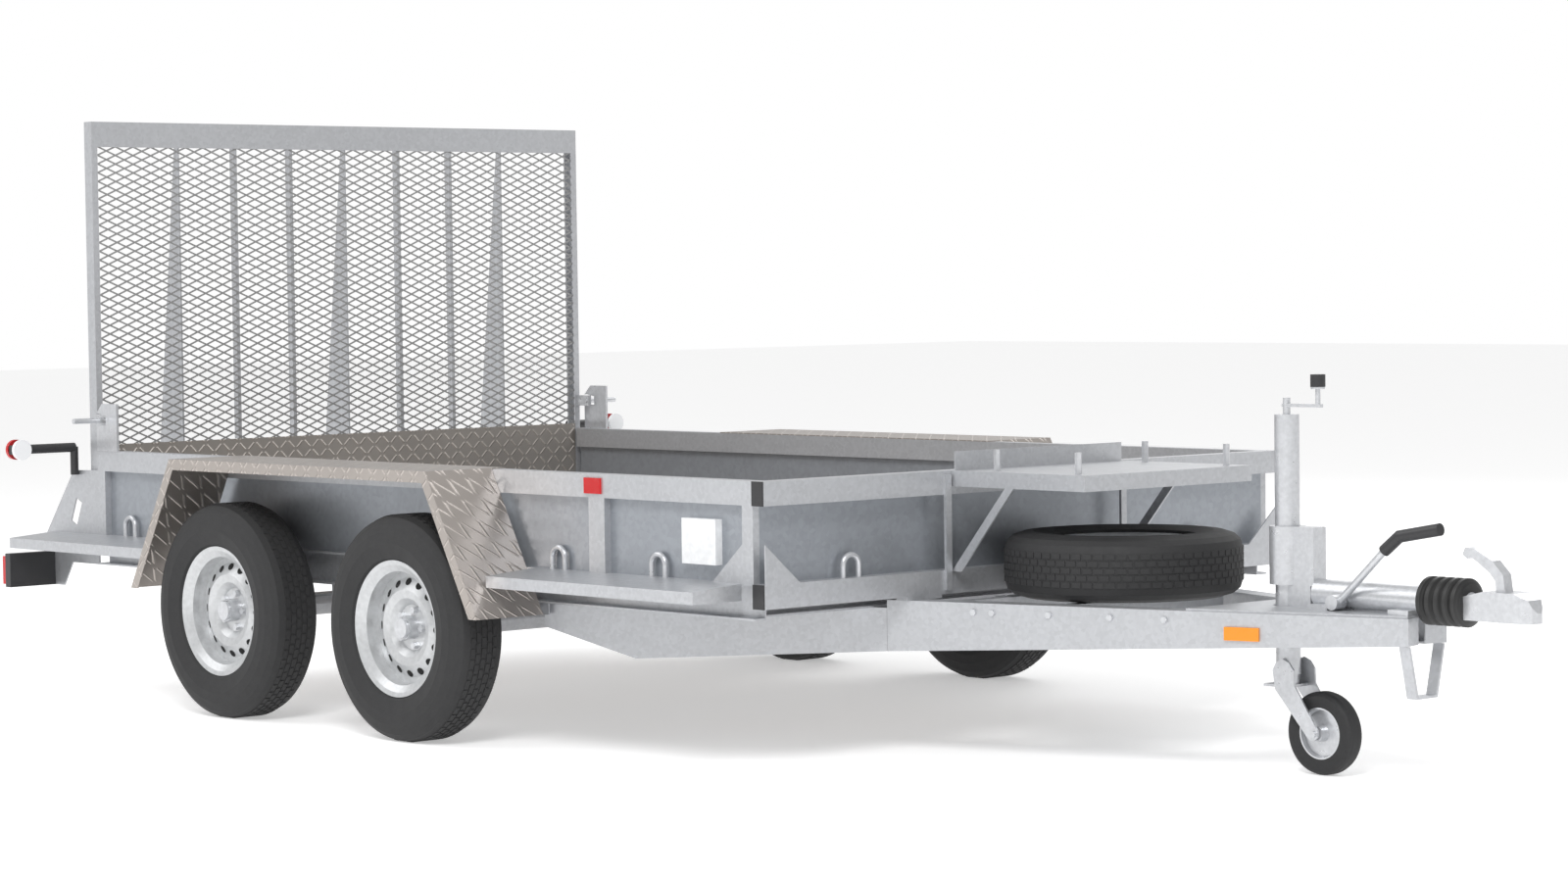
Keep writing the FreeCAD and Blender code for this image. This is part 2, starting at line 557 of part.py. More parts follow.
def drawbar():
    """Two tapered beams that meet behind the coupling, their braces and cross plates."""
    turn = BEAM_TURN
    lean = FreeCAD.Rotation(FreeCAD.Vector(0, 0, 1), num(turn))
    start = (along("-beam_seam"), "-beam_seam_side", "0")
    profile = [("0", "beam_seam_base"), (BEAM_LENGTH, "beam_tip_base"), (BEAM_LENGTH, "beam_top"),
               ("0", "beam_top")]
    # the sketch grows towards -Y, so each layer starts at its inner face
    def laid(rows, inner, depth):
        shift_x = f"- ({inner}) * sin({num(turn)})"
        shift_y = f"({inner}) * cos({num(turn)})"
        return padded(rows, depth, (f"{start[0]} {shift_x}", f"{start[1]} + {shift_y}", "0"),
                      lean * TURN["side"])
    whole = laid(profile, "beam_wide", "beam_wide")
    hollow_rows = [("-5", "beam_seam_base + beam_wall"), (f"{BEAM_LENGTH} - beam_wall", "beam_tip_base + beam_wall"),
                   (f"{BEAM_LENGTH} - beam_wall", "beam_top - beam_wall"), ("-5", "beam_top - beam_wall")]
    hollow = laid(hollow_rows, "beam_wide + 5", "beam_wide + 5 - beam_wall")
    beam = cut(whole, hollow)
    keep(beam, "drawbar_right")
    keep(mirrored(beam), "drawbar_left")

    # braces under the bed, from the seam out to the chassis channels
    swing = FreeCAD.Rotation(FreeCAD.Vector(0, 0, 1), num("brace_turn"))
    rows = [("0", "brace_end_base"), ("brace_length - brace_knee", "brace_base"),
            ("brace_length", "beam_seam_base"), ("brace_length", "chassis_base"), ("0", "chassis_base")]
    reach_x = f"brace_length * cos({num('brace_turn')})"
    reach_y = f"brace_length * sin({num('brace_turn')})"

    def braced(outlined, inner, depth):
        shift_x = f"({inner}) * sin({num('brace_turn')})"
        shift_y = f"({inner}) * cos({num('brace_turn')})"
        return padded(outlined, depth,
                      (along(f"-beam_seam - 1 - {reach_x} - {shift_x}"),
                       f"-beam_seam_side - {reach_y} + {shift_y}", "0"), swing * TURN["side"])
    shell = braced(rows, "beam_wide", "beam_wide")
    inside = [("-5", "brace_end_base + beam_wall"), ("brace_length - brace_knee", "brace_base + beam_wall"),
              ("brace_length + 5", "beam_seam_base + beam_wall"), ("brace_length + 5", "chassis_base - beam_wall"),
              ("-5", "chassis_base - beam_wall")]
    room = braced(inside, "beam_wide + 5", "beam_wide + 5 - beam_wall")
    brace = cut(shell, room)
    keep(pair(brace), "bed_braces")

    # plates that tie the beams together at the nose, and the bars under the spare wheel
    rear_half = f"({beam_side('nose_plate_rear')} - beam_wall - 2)"
    tip_half = "(beam_tip_side - beam_wall - 2)"
    wedge = [("0", f"-{rear_half}"), ("beam_tip - nose_plate_rear - 8", f"-{tip_half}"),
             ("beam_tip - nose_plate_rear - 8", tip_half), ("0", rear_half)]
    top = padded(wedge, "nose_plate", (along("nose_plate_rear"), "0", "beam_top"), "Z",
                 holes=[("mast_centre - nose_plate_rear", "0", "mast_radius + 6")])
    bars = []
    for ahead in ("carrier_first", "carrier_second"):
        half = f"({beam_side(f'{ahead} + carrier_bar')} - beam_wide * 1.06)"
        bars.append(box(("carrier_bar", f"2 * {half}", "carrier_bar"),
                        (along(ahead), f"-{half}", "beam_top - carrier_bar")))
    pads = box(("rail_deep", "120", "front_rail_base - beam_top"), (along("0"), "-460", "beam_top"))
    keep(group(top, *bars, pads, mirrored(pads)), "drawbar_plates")


def bucket_rest():
    """The shelf above the drawbar: rails, plate, rear flap, posts and struts."""
    base = "(bed_top - rest_rail)"
    length = "(rest_front - rail_deep)"
    rails = []
    for side in ("-rest_side", "rest_side - rest_rail"):
        rails.append(box((length, "rest_rail", "rest_rail"), (along("rail_deep"), side, base)))
    half = "(rest_side - rest_rail)"
    for ahead in ("rail_deep", "rest_front - rest_rail"):
        rails.append(box(("rest_rail", f"2 * {half}", "rest_rail"), (along(ahead), f"-{half}", base)))
    plate = box((f"{length} - 2 * rest_rail", f"2 * {half}", "rest_plate"),
                (along("rail_deep + rest_rail"), f"-{half}", "bed_top - rest_plate"))
    flap = box(("rest_plate", "2 * rest_side", "rest_flap"), (along("rail_deep + 12"), "-rest_side", "bed_top"))
    keep(fuse(*rails, plate, flap), "bucket_rest")
    posts = []
    for side in ("-(rest_side + rest_post + 6)", "rest_side + 6"):
        posts.append(box(("8", "rest_post", "bed_top - front_rail_base - 20"),
                         (along("rail_deep"), side, "front_rail_base + 10")))
    legs = []
    run = "(190)"
    fall = f"({base} - chassis_top + 4)"
    rows = [("0", "0"), ("strut_wide", "0"), (f"{run} + strut_wide", fall), (run, fall)]
    for side in ("-rest_side + 6", "rest_side"):
        legs.append(padded(rows, "6", (along("rail_deep"), side, "chassis_top - 4"), "side"))
    keep(group(*posts, *legs), "rest_struts")


def spare_wheel():
    """Spare wheel lying on two bars between the beams, held by a threaded rod."""
    lift = "(beam_top + tyre_wide / 2 + 0.3)"
    at = (along("spare_centre"), "0", lift)
    keep(turned(tyre_section(), at, "Z"), "spare_tyre")
    keep(turned(rim_section(-1, "bore_radius"), at, "Z"), "spare_rim")
    bridge = box(("carrier_second - carrier_first - carrier_bar", "60", "8"),
                 (along("carrier_first + carrier_bar"), "-30", "beam_top - 12"))
    stud = rod("spare_rod", f"{lift} - beam_top + 40", (along("spare_centre"), "0", "beam_top - 6"))
    cap = rod("46", "8", (along("spare_centre"), "0", f"{lift} + 6"))
    nut = rod("20", "14", (along("spare_centre"), "0", f"{lift} + 12"))
    keep(fuse(bridge, stud, cap, nut), "spare_clamp")


# ----------------------------------------------------------------------------------------
# Coupling
# ----------------------------------------------------------------------------------------
DECK = "(beam_top + nose_plate)"
BORE_LINE = f"({DECK} + housing_radius)"


def coupling():
    """Overrun housing, bellows, ball coupling with handle, and parking brake lever."""
    body = rod("housing_radius", "housing_front - housing_rear",
               (along("housing_rear"), "0", BORE_LINE), "X")
    feet = []
    for ahead in ("housing_rear + 12", "housing_front - 72"):
        feet.append(box(("60", "2 * (beam_tip_side - 10)", "12"), (along(ahead), "-(beam_tip_side - 10)", DECK)))
    spine = box(("housing_front - housing_rear - 30", "24", "housing_radius"),
                (along("housing_rear + 15"), "-12", DECK))
    keep(fuse(body, spine, *feet), "overrun_housing")

    folds = [("drawtube_radius + 0.2", "0"), ("bellows_radius - 14", "0")]
    count = BELLOWS_FOLDS
    span = "(bellows_front - housing_front)"
    for index in range(count):
        crest = f"{span} * {index + 0.5} / {count}"
        valley = f"{span} * {index + 1} / {count}"
        folds.append(("bellows_radius", f"{crest} - 5"))
        folds.append(("bellows_radius", f"{crest} + 5"))
        if index < count - 1:
            folds.append(("bellows_radius - 10", valley))
    folds += [("bellows_radius - 14", span), ("drawtube_radius + 0.2", span)]
    keep(turned(folds, (along("housing_front"), "0", BORE_LINE), "X"), "bellows")
    keep(rod("drawtube_radius", "bellows_front - housing_front",
             (along("housing_front"), "0", BORE_LINE), "X"), "drawtube")

    reach = "(nose_reach - bellows_front)"
    tall = "(head_top - head_base)"
    side = padded([("0", "0"), (reach, "0"), (reach, f"{tall} * 0.35"), (f"{reach} - 14", f"{tall} * 0.78"),
                   (f"{reach} - 46", tall), (f"{reach} * 0.3", tall), ("0", f"{tall} * 0.8")],
                  "head_wide", (along("bellows_front"), "head_wide / 2", "head_base"), "side")
    plan_half = "(head_wide / 2)"
    plan = padded([("0", f"-{plan_half} + 8"), (f"{reach} - 70", f"-{plan_half}"), (f"{reach} - 26", f"-{plan_half} + 6"),
                   (f"{reach} - 6", f"-{plan_half} + 20"), (reach, f"-{plan_half} + 32"),
                   (reach, f"{plan_half} - 32"), (f"{reach} - 6", f"{plan_half} - 20"),
                   (f"{reach} - 26", f"{plan_half} - 6"), (f"{reach} - 70", plan_half), ("0", f"{plan_half} - 8")],
                  f"{tall} + 2", (along("bellows_front"), "0", "head_base - 1"), "Z")
    socket_at = (along("nose_reach - ball_back"), "0", "head_base + 18")
    ball = DOC.addObject("Part::Sphere", "ball")
    ball.setExpression("Radius", bind("ball_radius"))
    place(ball, socket_at)
    throat = rod("ball_radius - 3", "40", (socket_at[0], "0", "head_base - 20"))
    keep(cut(common(side, plan), fuse(ball, throat)), "coupling_head")

    rows = [("0", "82"), ("8", "98"), ("34", "96"), ("86", "70"), ("116", "40"), ("122", "0"), ("96", "0"),
            ("94", "24"), ("78", "42"), ("46", "64"), ("22", "78"), ("14", "72")]
    keep(padded(rows, "handle_wide", (along("1424"), "handle_wide / 2", "head_top"), "side"), "coupling_handle")

    lean = FreeCAD.Rotation(FreeCAD.Vector(0, 1, 0), 47.3)
    root = (along("housing_rear + 93"), "-lever_side", f"{DECK} + 12")
    arm = rod("lever_radius", "205", root, rotation=lean)
    boss = rod("18", "36", (root[0], "-housing_radius", f"{DECK} + 20"), "Y", TURN["side"])
    grip_low = rod("grip_radius", "62", (f"{root[0]} + 146", "-lever_side", f"{DECK} + 147"),
                   rotation=FreeCAD.Rotation(FreeCAD.Vector(0, 1, 0), 52))
    grip_top = rod("grip_radius", "124", (f"{root[0]} + 190", "-lever_side", f"{DECK} + 183"),
                   rotation=FreeCAD.Rotation(FreeCAD.Vector(0, 1, 0), 80))
    keep(fuse(arm, boss, grip_low, grip_top), "brake_lever")

    thick = "hoop_strap_thick"
    skid_tall = "(beam_tip_base - skid_base - 1.6)"
    upper = "(beam_tip_side - 4)"
    rows = [(f"-{upper}", skid_tall), ("-skid_foot", "0"), ("skid_foot", "0"), (upper, skid_tall),
            (f"{upper} - {thick}", skid_tall), (f"skid_foot - {thick}", thick),
            (f"-skid_foot + {thick}", thick), (f"-{upper} + {thick}", skid_tall)]
    keep(padded(rows, "hoop_strap", (along("beam_tip - 32"), "0", "skid_base"), "front"), "nose_skid")


BELLOWS_FOLDS = 5


# ----------------------------------------------------------------------------------------
# Jockey wheel
# ----------------------------------------------------------------------------------------
def jockey():
    """Clamp, outer tube with crank, sliding leg, swivelling fork and wheel."""
    centre = along("mast_centre")
    block = box(("clamp_front - mast_centre", "46", "clamp_top - clamp_base"), (centre, "-23", "clamp_base"))
    collar = rod("clamp_radius", "clamp_top - clamp_base", (centre, "0", "clamp_base"))
    stand = box(("clamp_radius + 46", "46", f"clamp_base - {DECK}"), (centre, "-23", DECK))
    bore = rod("mast_radius + fit_gap", f"clamp_top - {DECK} + 20", (centre, "0", f"{DECK} - 10"))
    keep(cut(fuse(block, collar, stand), bore), "jockey_clamp")

    shell = rod("mast_radius", "mast_top - mast_base", (centre, "0", "mast_base"))
    room = rod("mast_bore", "mast_top - mast_base", (centre, "0", "mast_base - 20"))
    keep(cut(shell, room), "jockey_tube")
    spindle = rod("9", "40", (centre, "0", "mast_top"))
    arm = box(("118", "14", "8"), (f"{centre} - 10", "-7", "mast_top + 18"))
    riser = rod("6", "50", (f"{centre} + 98", "0", "mast_top + 18"))
    knob = rod("17", "34", (f"{centre} + 98", "0", "mast_top + 62"))
    keep(fuse(spindle, arm, riser, knob), "jockey_crank")

    leg = rod("mast_bore - fit_gap", "leg_top - leg_base", (centre, "0", "leg_base"))
    socket = rod("swivel_radius + fit_gap", "70", (centre, "0", "leg_base - 10"))
    keep(cut(leg, socket), "jockey_leg")

    trail = "jockey_trail"
    low = "(leg_base - run_gap - fork_bridge)"
    bridge = box(("76", "2 * (fork_side + fork_plate)", "fork_bridge"),
                 (f"{centre} - 44", "-(fork_side + fork_plate)", low))
    pin = rod("swivel_radius", "50", (centre, "0", low))
    axle_pin = rod("jockey_axle", "2 * (fork_side + fork_plate + 6)",
                   (f"{centre} + {trail}", "-(fork_side + fork_plate + 6)", "jockey_radius"), "Y")
    rows = [("0", "146"), ("8", "100"), ("112", "-14"), ("128", "-16"), ("140", "-6"), ("140", "8"),
            ("68", "112"), ("66", "148"), ("52", "166"), ("32", "174"), ("12", "166")]
    cheeks = []
    for side in ("-fork_side", "fork_side + fork_plate"):
        cheeks.append(padded(rows, "fork_plate", (f"{centre} - 16", side, "jockey_radius"), "side"))
    keep(fuse(bridge, pin, axle_pin, *cheeks), "jockey_fork")

    at = (f"{centre} + {trail}", "0", "jockey_radius")
    half = "(jockey_wide / 2)"
    keep(turned([("jockey_hub", f"-{half} + 5"), ("jockey_radius - 10", f"-{half}"),
                 ("jockey_radius - 3", f"-{half} + 5"), ("jockey_radius", f"-{half} + 14"),
                 ("jockey_radius", f"{half} - 14"), ("jockey_radius - 3", f"{half} - 5"),
                 ("jockey_radius - 10", half), ("jockey_hub", f"{half} - 5")], at, "Y"), "jockey_tyre")
    keep(turned([("jockey_axle + fit_gap", f"-{half} - 6"), ("18", f"-{half} - 6"), ("20", "-8"),
                 ("jockey_hub - 8", "-8"), ("jockey_hub - 4", f"-{half} + 5"), ("jockey_hub", f"-{half} + 5"),
                 ("jockey_hub", f"{half} - 5"), ("jockey_hub - 4", f"{half} - 5"), ("jockey_hub - 8", "8"),
                 ("20", "8"), ("18", f"{half} + 6"), ("jockey_axle + fit_gap", f"{half} + 6")], at, "Y"),
         "jockey_rim")


# ----------------------------------------------------------------------------------------
# Ramp
# ----------------------------------------------------------------------------------------
RAMP_FACE = "(-bed_length)"
HINGE = "(-bed_length - hinge_back)"


def ramp_frame():
    """Side channels, head and foot rails, and the lugs that carry the latch pins."""
    section = [("0", "0"), ("ramp_flange", "0"), ("ramp_flange", "ramp_wall"), ("ramp_wall", "ramp_wall"),
               ("ramp_wall", "ramp_deep - ramp_wall"), ("ramp_flange", "ramp_deep - ramp_wall"),
               ("ramp_flange", "ramp_deep"), ("0", "ramp_deep")]
    upright = FreeCAD.Rotation(FreeCAD.Vector(0, 0, 1), 90)
    tall = "(ramp_top - ramp_base)"
    # local X runs along +Y and local Y along -X
    right = padded(section, tall, (along(RAMP_FACE), "-ramp_half", "ramp_base"), upright)
    left = mirrored(right)
    inner = "(ramp_half - ramp_wall)"
    head = box(("ramp_deep", f"2 * {inner}", "ramp_wall"),
               (along(f"{RAMP_FACE} - ramp_deep"), f"-{inner}", "ramp_top - ramp_wall"))
    brow = box(("ramp_wall", f"2 * {inner}", "ramp_head"),
               (along(f"{RAMP_FACE} - ramp_wall"), f"-{inner}", "ramp_top - ramp_head"))
    foot = box(("ramp_deep", f"2 * {inner}", "ramp_foot"),
               (along(f"{RAMP_FACE} - ramp_deep"), f"-{inner}", "ramp_base"))
    return fuse(right, left, head, brow, foot)


def clipped_strand(offset, slope, low, high, left, right, across):
    """Corners of one slanted strand inside a rectangle, or nothing if it misses it."""
    half = across / 2 * math.sqrt(1 + slope * slope)
    strip = [(left - 10, offset + slope * (left - 10) - half), (right + 10, offset + slope * (right + 10) - half),
             (right + 10, offset + slope * (right + 10) + half), (left - 10, offset + slope * (left - 10) + half)]
    bounds = ((0, left, 1), (0, right, -1), (1, low, 1), (1, high, -1))
    for axis, limit, sign in bounds:
        kept = []
        for here, after in zip(strip, strip[1:] + strip[:1]):
            inside = sign * (here[axis] - limit) >= 0
            if inside:
                kept.append(here)
            if inside != (sign * (after[axis] - limit) >= 0):
                share = (limit - here[axis]) / (after[axis] - here[axis])
                kept.append(tuple(a + share * (b - a) for a, b in zip(here, after)))
        strip = kept
        if len(strip) < 3:
            return None
    return strip


def mesh_shape():
    """Expanded metal as two crossed layers of strands, in the ramp's own plane (Y, Z)."""
    left, right = -num("ramp_half - ramp_wall"), num("ramp_half - ramp_wall")
    low, high = num("tread_top"), num("ramp_top - ramp_head")
    slope = num("mesh_short / mesh_long")
    pitch = num("mesh_short")
    wall = num("mesh_wall")
    back = num(along(f"{RAMP_FACE} - ramp_wall"))
    solids = []
    for layer, sign in enumerate((1, -1)):
        spread = abs(slope) * (right - left) / 2
        count = int((high - low + 2 * spread) / pitch) + 1
        for index in range(count):
            offset = low - spread + (index + 0.5) * pitch
            strip = clipped_strand(offset, sign * slope, low, high, left, right, num("mesh_strand"))
            if strip is None:
                continue
            depth = back - (layer + 1) * wall
            corners = [FreeCAD.Vector(depth, y, z) for y, z in strip]
            face = Part.Face(Part.makePolygon(corners + corners[:1]))
            if face.Area < 40:
                continue
            solids.append(face.extrude(FreeCAD.Vector(wall, 0, 0)))
    return Part.makeCompound(solids)


def ramp():
    """The loading ramp: frame, mesh, tread plate, bars, ribs, hinge bar and latch pins."""
    keep(ramp_frame(), "ramp_frame")
    keep(shaped("mesh", mesh_shape()), "ramp_mesh")
    inner = "(ramp_half - ramp_wall)"
    foot = "(ramp_base + ramp_foot)"
    back = f"{RAMP_FACE} - ramp_wall"
    clear = "(ramp_half - ramp_flange)"
    keep(box(("ramp_wall", f"2 * {clear}", f"tread_top - {foot}"),
             (along(back), f"-{clear}", foot)), "ramp_tread")

    mesh_back = f"{back} - 2 * mesh_wall"
    step = "(2 * ramp_half / 9)"
    bars = []
    for index in (1, 2, 4, 5):
        side = f"-rib_reach + {step} * {index} - bar_wide / 2"
        bars.append(box(("bar_deep", "bar_wide", "ramp_top - ramp_wall - tread_top"),
                        (along(f"{mesh_back} - bar_deep"), side, "tread_top")))
    solids = []
    for side in ("-rib_reach", "0", "rib_reach"):
        back_turn = FreeCAD.Rotation(FreeCAD.Vector(0, 0, 1), 180) * TURN["side"]
        plate = padded([("0", "ramp_base - hinge_height + ramp_foot"), ("rib_foot_deep - 20", "ramp_base - hinge_height + ramp_foot"),
                        ("rib_foot_deep", "ramp_base - hinge_height + ramp_foot + 30"),
                        ("rib_top_deep", "rib_top - hinge_height"), ("0", "rib_top - hinge_height")],
                       "rib_thick", (along(mesh_back), f"{side} - rib_thick / 2", "hinge_height"), back_turn)
        solids.append(plate)
    keep(group(*bars, *solids), "ramp_ribs")

    bar = rod("hinge_radius", f"2 * ({HALF} + 4)", (along(HINGE), f"-({HALF} + 4)", "hinge_height"), "Y")
    lugs = []
    for side in ("-(ramp_half - 30)", "-rib_reach - 6", "-6", "rib_reach - 6", "ramp_half - 42"):
        lug = padded([("0", "0"), ("ramp_deep + 6", "0"), ("ramp_deep + 6", "ramp_base - hinge_height + 14"),
                      ("0", "ramp_base - hinge_height + 14")], "12",
                     (along(f"{RAMP_FACE} - ramp_deep - 6"), f"{side} + 12", "hinge_height - 14"), "side")
        lugs.append(cut(lug, rod("hinge_radius", "40", (along(HINGE), f"{side} - 10", "hinge_height"), "Y")))
    keep(group(bar, *lugs), "ramp_hinge")

    # latch pins stand out sideways from lugs on the side channels
    pin = rod("latch_radius", "latch_reach - ramp_half + 14",
              (along(f"{RAMP_FACE} + latch_ahead"), "-latch_reach", "latch_height"), "Y")
    lug = box(("latch_ahead + 14", "latch_lug", "34"),
              (along(RAMP_FACE), "-ramp_half", "latch_height - 17"))
    one = fuse(pin, lug)
    keep(pair(one), "latch_pins")


# ----------------------------------------------------------------------------------------
# Tail
# ----------------------------------------------------------------------------------------
def tail():
    """Ears beside the ramp, lamp board, lamps, marker lamps and latch catches."""
    length = "(tail_reach + tail_gap)"
    board = "(bed_length + tail_reach)"
    low = "tail_board_base"
    rows = [("0", "0"), ("100", "0"), ("150", f"chassis_base - {low}"), (length, f"chassis_base - {low}"),
            (length, f"656 - {low}"), ("164", f"652 - {low}"), ("0", f"452 - {low}")]
    ear = padded(rows, "ear_thick", (along(f"-{board}"), f"-(ramp_half + ear_gap)", low), "side")
    eye = rod("hinge_radius + fit_gap", "40", (along(HINGE), f"-({HALF} + 20)", "hinge_height"), "Y")
    slot_turn = FreeCAD.Rotation(FreeCAD.Vector(0, 1, 0), 24)
    slot = box(("34", "40", "76"), (along(f"-{board} + 146"), f"-({HALF} + 20)", "500"), slot_turn)
    ear_cut = cut(ear, eye, slot)
    keep(pair(ear_cut), "tail_ears")

    outer = f"({HALF} + ledge_deep)"
    back = f"-{board} + lamp_deep"
    plate = box(("50 - lamp_deep", f"{outer} - (ramp_half + ear_gap + ear_thick)",
                 "tail_board_top - tail_board_base"),
                (along(back), f"-{outer}", "tail_board_base"))
    keep(pair(plate), "tail_board")
    lamp = box(("lamp_deep", "lamp_wide", "lamp_tall"),
               (along(f"-{board}"), f"-{outer} + 4", "tail_board_base + 8"))
    lamps = [lamp, mirrored(lamp)]
    keep(group(*lamps), "tail_lamps")

    start = (along(f"-{board} + 190"), f"-({HALF} + 12)", "640")
    riser = rod("marker_radius - 2", "84", start)
    reach = f"(marker_reach - {HALF} - 12)"
    arm = rod("marker_radius", reach, (start[0], "-marker_reach", "722"), "Y")
    keep(pair(fuse(riser, arm)), "marker_arms")

    plate_rows = [("0", "0"), ("110", "0"), ("110", "catch_tall"), ("30", "catch_tall"), ("0", "catch_tall - 30"),
                  ("0", "latch_height - bed_top + latch_radius + catch_gap + 8"),
                  ("50", "latch_height - bed_top + latch_radius + catch_gap"),
                  ("50", "latch_height - bed_top - latch_radius - catch_gap"),
                  ("0", "latch_height - bed_top - latch_radius - catch_gap")]
    catch = padded(plate_rows, "catch_thick",
                   (along(f"{RAMP_FACE} + latch_ahead - 28"), f"-(ramp_half + catch_gap)", "bed_top"), "side")
    keep(pair(catch), "latch_catches")


bed()
bed_fittings()
guard = mudguard()
keep(guard, "mudguard_right")
keep(mirrored(guard), "mudguard_left")
running_gear()
drawbar()
bucket_rest()
spare_wheel()
coupling()
jockey()
ramp()
tail()
DOC.recompute()

faults = [obj.Name for obj in DOC.Objects if "Invalid" in obj.State or "Error" in obj.State]
faults += [obj.Label for obj in NODES if obj.Shape.isNull() or not obj.Shape.isValid()]
if faults:
    raise RuntimeError(f"failed objects: {faults}")
os.makedirs("parts", exist_ok=True)
for obj in NODES:
    obj.Shape.exportStep(f"parts/{obj.Label}.step")
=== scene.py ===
"""Looks for a tandem-axle equipment trailer, built around its fixed CAD frame."""

import enum
import logging
import math
from dataclasses import dataclass

import bpy
from mathutils import Matrix, Vector

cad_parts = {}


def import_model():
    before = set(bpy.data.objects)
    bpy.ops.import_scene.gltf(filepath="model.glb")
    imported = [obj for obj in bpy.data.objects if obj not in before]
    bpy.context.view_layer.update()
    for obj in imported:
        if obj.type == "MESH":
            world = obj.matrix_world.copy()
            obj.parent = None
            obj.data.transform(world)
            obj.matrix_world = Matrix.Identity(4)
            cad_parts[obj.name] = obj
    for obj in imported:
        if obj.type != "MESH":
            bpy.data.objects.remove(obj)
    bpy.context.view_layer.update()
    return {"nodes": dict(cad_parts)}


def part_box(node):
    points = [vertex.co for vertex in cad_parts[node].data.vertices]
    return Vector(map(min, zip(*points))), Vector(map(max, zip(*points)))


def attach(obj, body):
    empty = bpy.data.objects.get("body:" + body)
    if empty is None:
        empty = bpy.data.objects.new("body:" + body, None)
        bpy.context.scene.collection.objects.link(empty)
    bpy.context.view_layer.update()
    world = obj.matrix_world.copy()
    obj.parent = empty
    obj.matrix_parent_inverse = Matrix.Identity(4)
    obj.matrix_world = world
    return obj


LOG = logging.getLogger("trailer")
SIDES = {"right": -1.0, "left": 1.0}


class Detail(enum.Enum):
    """Kinds of surface detail a finish can carry."""

    SPANGLE = "spangle"
    TREAD = "tread"
    GRAIN = "grain"
    RIBS = "ribs"


@dataclass(frozen=True)
class Finish:
    """One finish: its colour, its shine and the detail in it."""

    name: str
    colour: tuple[float, float, float]
    metallic: float
    roughness: float
    detail: Detail
    scale: float = 60.0
    across: tuple[float, float, float] = (1.0, 0.0, 0.0)
    along: tuple[float, float, float] = (0.0, 1.0, 1.0)


GALVANISED = Finish("galvanised", (0.50, 0.51, 0.53), 0.6, 0.38, Detail.SPANGLE, 110.0)
# Bed panels: the galvanised colour made darker and bluer as painted shade.
SHADED_PANEL_STEEL = Finish("panel_steel_painted_shade", (0.33, 0.35, 0.38), 0.55, 0.36, Detail.SPANGLE, 80.0)
MESH_STEEL = Finish("mesh_steel", (0.33, 0.33, 0.33), 0.6, 0.42, Detail.SPANGLE, 120.0)
BRIGHT = Finish("bright_zinc", (0.58, 0.59, 0.61), 0.6, 0.3, Detail.GRAIN, 90.0)
TREAD = Finish("tread_plate", (0.46, 0.42, 0.39), 0.65, 0.33, Detail.TREAD)
# Upright ramp tread: the tread plate colour made darker as painted shade on the upright faces.
TREAD_UPRIGHT_SHADED = Finish("tread_upright_shaded", (0.42, 0.39, 0.36), 0.65, 0.35, Detail.TREAD, 60.0, (0.0, 1.0, 0.0), (0.0, 0.0, 1.0))
RUBBER = Finish("tyre_rubber", (0.022, 0.022, 0.023), 0.0, 0.72, Detail.GRAIN, 140.0)
BELLOWS = Finish("bellows_rubber", (0.02, 0.02, 0.02), 0.0, 0.5, Detail.RIBS, 60.0)
BLACK = Finish("black_plastic", (0.025, 0.025, 0.027), 0.0, 0.4, Detail.GRAIN, 200.0)
RIM = Finish("rim_silver", (0.56, 0.57, 0.58), 0.4, 0.32, Detail.GRAIN, 80.0)
# Near-black for painted shade seen through holes.
VENT_SHADE = Finish("shadow_hole", (0.012, 0.012, 0.012), 0.0, 0.9, Detail.GRAIN, 80.0)
RED = Finish("red_lens", (0.55, 0.012, 0.015), 0.0, 0.18, Detail.RIBS, 260.0)
AMBER = Finish("amber_lens", (0.85, 0.27, 0.01), 0.0, 0.2, Detail.RIBS, 260.0)
CLEAR = Finish("clear_lens", (0.85, 0.86, 0.88), 0.0, 0.15, Detail.RIBS, 260.0)
BLANK = Finish("blank_plate", (0.80, 0.81, 0.82), 0.0, 0.35, Detail.GRAIN, 50.0)

NODE_FINISHES = {
    "tyre": RUBBER, "spare_tyre": RUBBER, "jockey_tyre": RUBBER, "rim": RIM, "spare_rim": RIM,
    "jockey_rim": BRIGHT, "mudguard": TREAD, "floor_plate": TREAD, "ramp_tread": TREAD_UPRIGHT_SHADED,
    "bellows": BELLOWS, "rail_caps": BLACK, "tail_board": BLACK, "marker_arms": BLACK,
    "tail_lamps": RED, "bed_panels": SHADED_PANEL_STEEL, "ramp_mesh": MESH_STEEL, "latch": BRIGHT,
    "jockey": BRIGHT, "coupling": BRIGHT, "overrun_housing": BRIGHT, "drawtube": BRIGHT,
    "brake_lever": BRIGHT, "lashing_hoops": BRIGHT,
}


